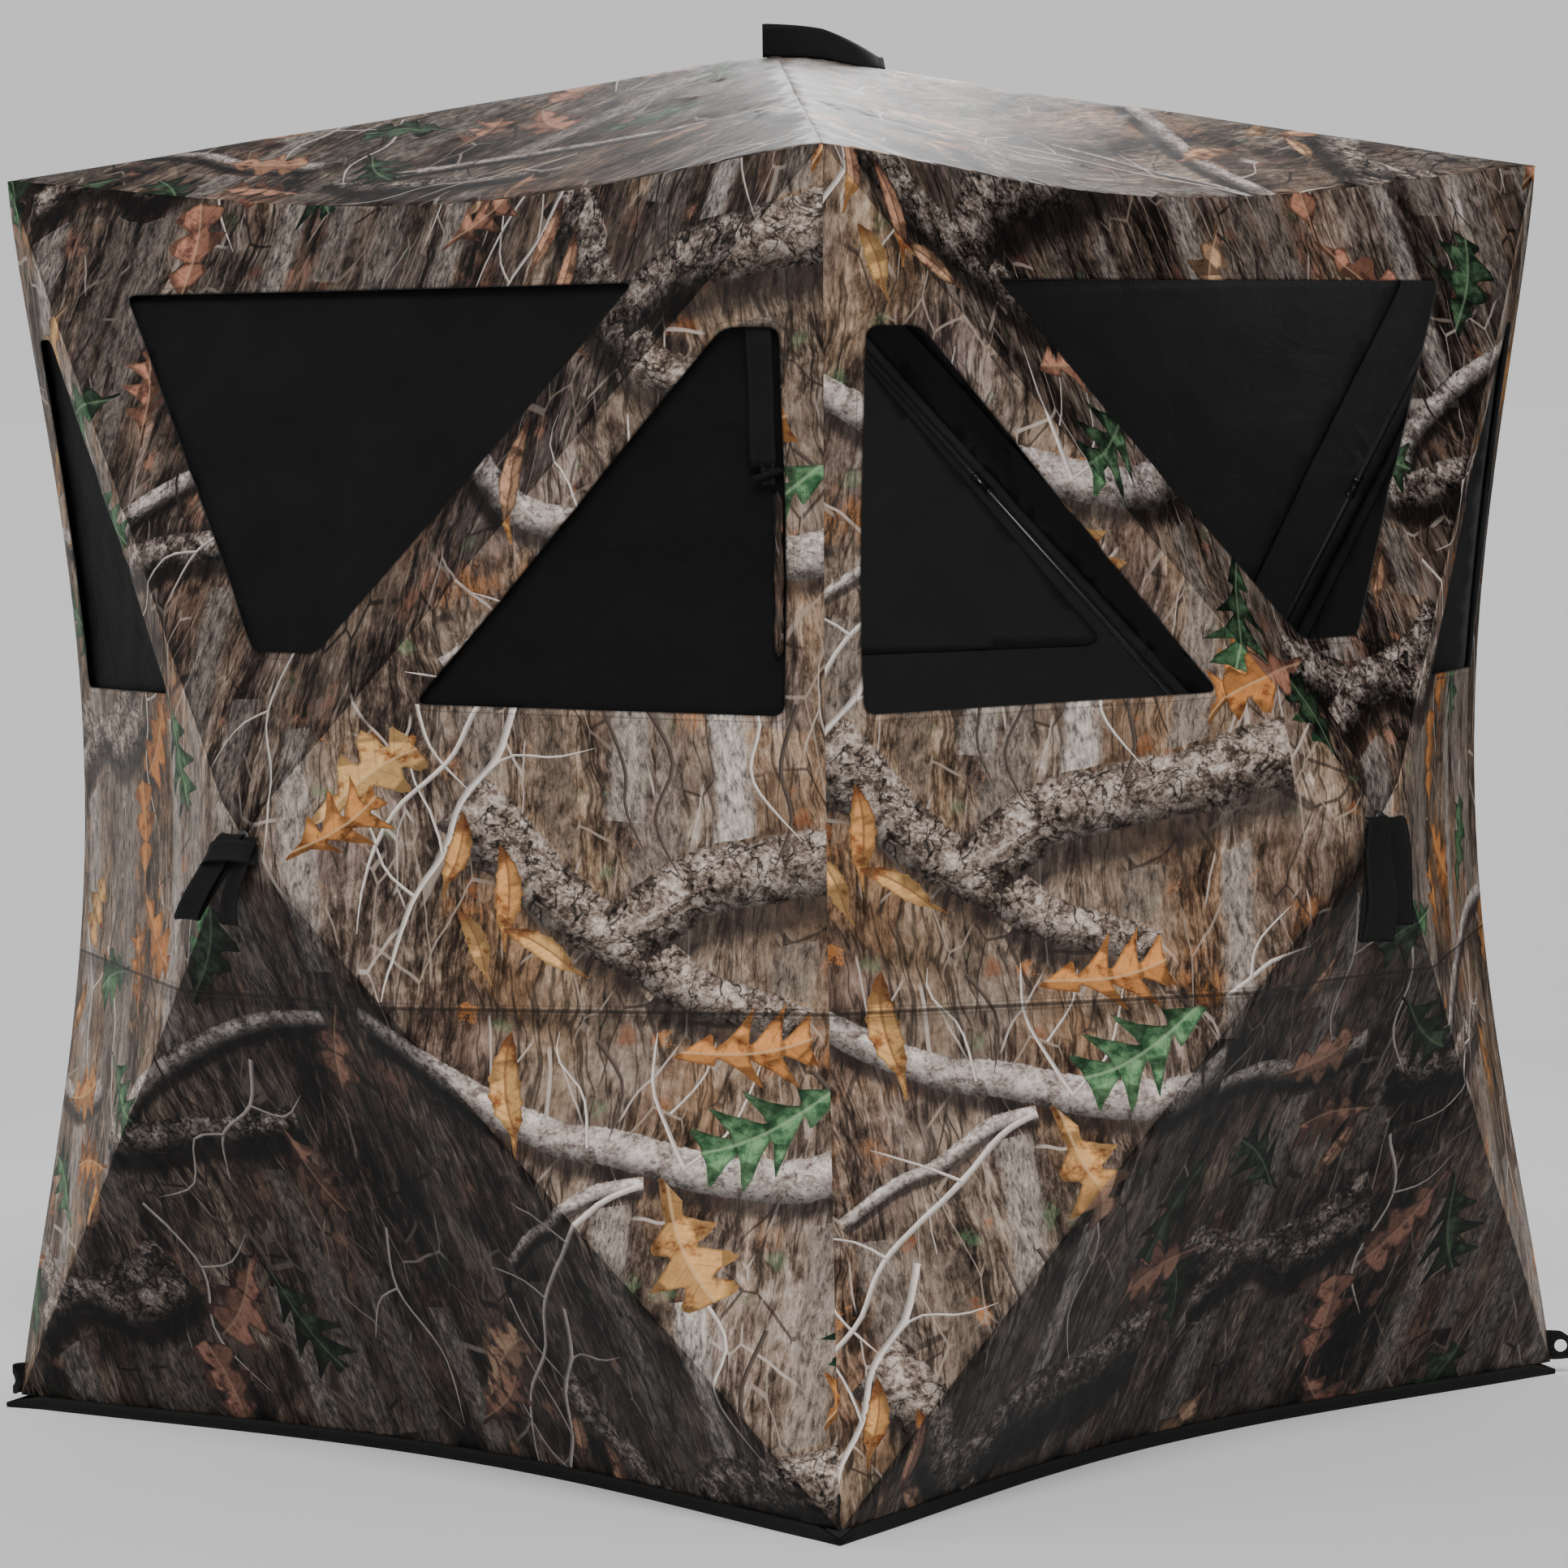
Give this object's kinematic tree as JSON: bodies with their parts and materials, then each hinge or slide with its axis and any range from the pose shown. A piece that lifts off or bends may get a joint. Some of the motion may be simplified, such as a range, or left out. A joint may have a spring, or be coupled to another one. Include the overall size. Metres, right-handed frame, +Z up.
{
  "type": "pop up ground blind",
  "caption": "Camouflage hub-style hunting blind: bowed cube tent whose walls and roof pop out on rod-and-hub crosses, with black windows, hem binding and pull straps.",
  "frame": {"origin": "on the ground, under the roof hub, at the middle of the footprint", "axes": "+Z up; the front wall faces -Y and the wall with open windows faces +X"},
  "size_m": [1.9442, 1.9442, 1.7341],
  "materials": {
    "camo_cloth": "printed woodland polyester, slight sheen",
    "black_cloth": "black coated lining and window covers",
    "webbing": "black woven webbing and binding tape",
    "hub_plastic": "moulded black nylon",
    "rod_fibreglass": "black fibreglass rods with moulded ends"
  },
  "bodies": {
    "shell": {"wall_front": "camo_cloth", "wall_right": "camo_cloth", "wall_back": "camo_cloth", "wall_left": "camo_cloth", "roof": "camo_cloth", "hem_binding": "webbing", "corner_pocket_front_right": "webbing", "ground_pocket_front_right": "webbing", "corner_pocket_right_back": "webbing", "ground_pocket_right_back": "webbing", "corner_pocket_back_left": "webbing", "ground_pocket_back_left": "webbing", "corner_pocket_left_front": "webbing", "ground_pocket_left_front": "webbing", "window_cover_front_top": "black_cloth", "window_cover_front_right": "black_cloth", "window_cover_front_left": "black_cloth", "window_cover_back_top": "black_cloth", "window_cover_back_right": "black_cloth", "window_cover_back_left": "black_cloth", "window_cover_left_top": "black_cloth", "window_cover_left_right": "black_cloth", "window_cover_left_left": "black_cloth"},
    "front_hub": {"hub_front": "hub_plastic", "hub_cap_front": "hub_plastic", "pull_strap_front": "webbing"},
    "rod_front_upper_left": {"rod_front_upper_left": "rod_fibreglass"},
    "rod_front_lower_left": {"rod_front_lower_left": "rod_fibreglass"},
    "rod_front_upper_right": {"rod_front_upper_right": "rod_fibreglass"},
    "rod_front_lower_right": {"rod_front_lower_right": "rod_fibreglass"},
    "right_hub": {"hub_right": "hub_plastic", "hub_cap_right": "hub_plastic", "pull_strap_right": "webbing"},
    "rod_right_upper_left": {"rod_right_upper_left": "rod_fibreglass"},
    "rod_right_lower_left": {"rod_right_lower_left": "rod_fibreglass"},
    "rod_right_upper_right": {"rod_right_upper_right": "rod_fibreglass"},
    "rod_right_lower_right": {"rod_right_lower_right": "rod_fibreglass"},
    "back_hub": {"hub_back": "hub_plastic", "hub_cap_back": "hub_plastic", "pull_strap_back": "webbing"},
    "rod_back_upper_left": {"rod_back_upper_left": "rod_fibreglass"},
    "rod_back_lower_left": {"rod_back_lower_left": "rod_fibreglass"},
    "rod_back_upper_right": {"rod_back_upper_right": "rod_fibreglass"},
    "rod_back_lower_right": {"rod_back_lower_right": "rod_fibreglass"},
    "left_hub": {"hub_left": "hub_plastic", "hub_cap_left": "hub_plastic", "pull_strap_left": "webbing"},
    "rod_left_upper_left": {"rod_left_upper_left": "rod_fibreglass"},
    "rod_left_lower_left": {"rod_left_lower_left": "rod_fibreglass"},
    "rod_left_upper_right": {"rod_left_upper_right": "rod_fibreglass"},
    "rod_left_lower_right": {"rod_left_lower_right": "rod_fibreglass"},
    "roof_hub": {"hub_roof": "hub_plastic", "hub_cap_roof": "hub_plastic", "pull_strap_roof": "webbing"},
    "rod_roof_front_left": {"rod_roof_front_left": "rod_fibreglass"},
    "rod_roof_back_left": {"rod_roof_back_left": "rod_fibreglass"},
    "rod_roof_front_right": {"rod_roof_front_right": "rod_fibreglass"},
    "rod_roof_back_right": {"rod_roof_back_right": "rod_fibreglass"}
  },
  "joints": [
    {"name": "front_hub_slide", "type": "slide", "parent": "shell", "child": "front_hub", "axis": [0, -1, 0], "range_m": [-0.36, 0], "deforming": ["wall_front", "window_cover_front_top", "window_cover_front_right", "window_cover_front_left"]},
    {"name": "rod_front_upper_left_hinge", "type": "hinge", "parent": "front_hub", "child": "rod_front_upper_left", "pos_m": [-0.02505, -0.894, 0.80058], "axis": [0.752, 0, 0.6592], "range_deg": [-0.5, 22.84]},
    {"name": "rod_front_lower_left_hinge", "type": "hinge", "parent": "front_hub", "child": "rod_front_lower_left", "pos_m": [-0.0254, -0.894, 0.74374], "axis": [-0.7437, 0, 0.6685], "range_deg": [-0.5, 22.82]},
    {"name": "rod_front_upper_right_hinge", "type": "hinge", "parent": "front_hub", "child": "rod_front_upper_right", "pos_m": [0.02505, -0.894, 0.80058], "axis": [0.752, 0, -0.6592], "range_deg": [-0.5, 22.84]},
    {"name": "rod_front_lower_right_hinge", "type": "hinge", "parent": "front_hub", "child": "rod_front_lower_right", "pos_m": [0.0254, -0.894, 0.74374], "axis": [-0.7437, 0, -0.6685], "range_deg": [-0.5, 22.82]},
    {"name": "right_hub_slide", "type": "slide", "parent": "shell", "child": "right_hub", "axis": [1, 0, 0], "range_m": [-0.36, 0], "deforming": ["wall_right"]},
    {"name": "rod_right_upper_left_hinge", "type": "hinge", "parent": "right_hub", "child": "rod_right_upper_left", "pos_m": [0.894, -0.02505, 0.80058], "axis": [0, 0.752, 0.6592], "range_deg": [-0.5, 22.84]},
    {"name": "rod_right_lower_left_hinge", "type": "hinge", "parent": "right_hub", "child": "rod_right_lower_left", "pos_m": [0.894, -0.0254, 0.74374], "axis": [0, -0.7437, 0.6685], "range_deg": [-0.5, 22.82]},
    {"name": "rod_right_upper_right_hinge", "type": "hinge", "parent": "right_hub", "child": "rod_right_upper_right", "pos_m": [0.894, 0.02505, 0.80058], "axis": [0, 0.752, -0.6592], "range_deg": [-0.5, 22.84]},
    {"name": "rod_right_lower_right_hinge", "type": "hinge", "parent": "right_hub", "child": "rod_right_lower_right", "pos_m": [0.894, 0.0254, 0.74374], "axis": [0, -0.7437, -0.6685], "range_deg": [-0.5, 22.82]},
    {"name": "back_hub_slide", "type": "slide", "parent": "shell", "child": "back_hub", "axis": [0, 1, 0], "range_m": [-0.36, 0], "deforming": ["wall_back", "window_cover_back_top", "window_cover_back_right", "window_cover_back_left"]},
    {"name": "rod_back_upper_left_hinge", "type": "hinge", "parent": "back_hub", "child": "rod_back_upper_left", "pos_m": [0.02505, 0.894, 0.80058], "axis": [-0.752, 0, 0.6592], "range_deg": [-0.5, 22.84]},
    {"name": "rod_back_lower_left_hinge", "type": "hinge", "parent": "back_hub", "child": "rod_back_lower_left", "pos_m": [0.0254, 0.894, 0.74374], "axis": [0.7437, 0, 0.6685], "range_deg": [-0.5, 22.82]},
    {"name": "rod_back_upper_right_hinge", "type": "hinge", "parent": "back_hub", "child": "rod_back_upper_right", "pos_m": [-0.02505, 0.894, 0.80058], "axis": [-0.752, 0, -0.6592], "range_deg": [-0.5, 22.84]},
    {"name": "rod_back_lower_right_hinge", "type": "hinge", "parent": "back_hub", "child": "rod_back_lower_right", "pos_m": [-0.0254, 0.894, 0.74374], "axis": [0.7437, 0, -0.6685], "range_deg": [-0.5, 22.82]},
    {"name": "left_hub_slide", "type": "slide", "parent": "shell", "child": "left_hub", "axis": [-1, 0, 0], "range_m": [-0.36, 0], "deforming": ["wall_left", "window_cover_left_top", "window_cover_left_right", "window_cover_left_left"]},
    {"name": "rod_left_upper_left_hinge", "type": "hinge", "parent": "left_hub", "child": "rod_left_upper_left", "pos_m": [-0.894, 0.02505, 0.80058], "axis": [0, -0.752, 0.6592], "range_deg": [-0.5, 22.84]},
    {"name": "rod_left_lower_left_hinge", "type": "hinge", "parent": "left_hub", "child": "rod_left_lower_left", "pos_m": [-0.894, 0.0254, 0.74374], "axis": [0, 0.7437, 0.6685], "range_deg": [-0.5, 22.82]},
    {"name": "rod_left_upper_right_hinge", "type": "hinge", "parent": "left_hub", "child": "rod_left_upper_right", "pos_m": [-0.894, -0.02505, 0.80058], "axis": [0, -0.752, -0.6592], "range_deg": [-0.5, 22.84]},
    {"name": "rod_left_lower_right_hinge", "type": "hinge", "parent": "left_hub", "child": "rod_left_lower_right", "pos_m": [-0.894, -0.0254, 0.74374], "axis": [0, 0.7437, -0.6685], "range_deg": [-0.5, 22.82]},
    {"name": "roof_hub_slide", "type": "slide", "parent": "shell", "child": "roof_hub", "axis": [0, 0, 1], "range_m": [-0.28, 0], "deforming": ["roof"]},
    {"name": "rod_roof_front_left_hinge", "type": "hinge", "parent": "roof_hub", "child": "rod_roof_front_left", "pos_m": [-0.02687, -0.02687, 1.656], "axis": [-0.7071, 0.7071, 0], "range_deg": [-0.5, 19.49]},
    {"name": "rod_roof_back_left_hinge", "type": "hinge", "parent": "roof_hub", "child": "rod_roof_back_left", "pos_m": [-0.02687, 0.02687, 1.656], "axis": [0.7071, 0.7071, 0], "range_deg": [-0.5, 19.49]},
    {"name": "rod_roof_front_right_hinge", "type": "hinge", "parent": "roof_hub", "child": "rod_roof_front_right", "pos_m": [0.02687, -0.02687, 1.656], "axis": [-0.7071, -0.7071, 0], "range_deg": [-0.5, 19.49]},
    {"name": "rod_roof_back_right_hinge", "type": "hinge", "parent": "roof_hub", "child": "rod_roof_back_right", "pos_m": [0.02687, 0.02687, 1.656], "axis": [0.7071, -0.7071, 0], "range_deg": [-0.5, 19.49]}
  ],
  "couplings": [
    {"joint": "rod_front_upper_left_hinge", "follows": "front_hub_slide", "rad_per_m": -1.0833},
    {"joint": "rod_front_lower_left_hinge", "follows": "front_hub_slide", "rad_per_m": -1.0822},
    {"joint": "rod_front_upper_right_hinge", "follows": "front_hub_slide", "rad_per_m": -1.0833},
    {"joint": "rod_front_lower_right_hinge", "follows": "front_hub_slide", "rad_per_m": -1.0822},
    {"joint": "rod_right_upper_left_hinge", "follows": "right_hub_slide", "rad_per_m": -1.0833},
    {"joint": "rod_right_lower_left_hinge", "follows": "right_hub_slide", "rad_per_m": -1.0822},
    {"joint": "rod_right_upper_right_hinge", "follows": "right_hub_slide", "rad_per_m": -1.0833},
    {"joint": "rod_right_lower_right_hinge", "follows": "right_hub_slide", "rad_per_m": -1.0822},
    {"joint": "rod_back_upper_left_hinge", "follows": "back_hub_slide", "rad_per_m": -1.0833},
    {"joint": "rod_back_lower_left_hinge", "follows": "back_hub_slide", "rad_per_m": -1.0822},
    {"joint": "rod_back_upper_right_hinge", "follows": "back_hub_slide", "rad_per_m": -1.0833},
    {"joint": "rod_back_lower_right_hinge", "follows": "back_hub_slide", "rad_per_m": -1.0822},
    {"joint": "rod_left_upper_left_hinge", "follows": "left_hub_slide", "rad_per_m": -1.0833},
    {"joint": "rod_left_lower_left_hinge", "follows": "left_hub_slide", "rad_per_m": -1.0822},
    {"joint": "rod_left_upper_right_hinge", "follows": "left_hub_slide", "rad_per_m": -1.0833},
    {"joint": "rod_left_lower_right_hinge", "follows": "left_hub_slide", "rad_per_m": -1.0822},
    {"joint": "rod_roof_front_left_hinge", "follows": "roof_hub_slide", "rad_per_m": -1.1839},
    {"joint": "rod_roof_back_left_hinge", "follows": "roof_hub_slide", "rad_per_m": -1.1839},
    {"joint": "rod_roof_front_right_hinge", "follows": "roof_hub_slide", "rad_per_m": -1.1839},
    {"joint": "rod_roof_back_right_hinge", "follows": "roof_hub_slide", "rad_per_m": -1.1839}
  ]
}
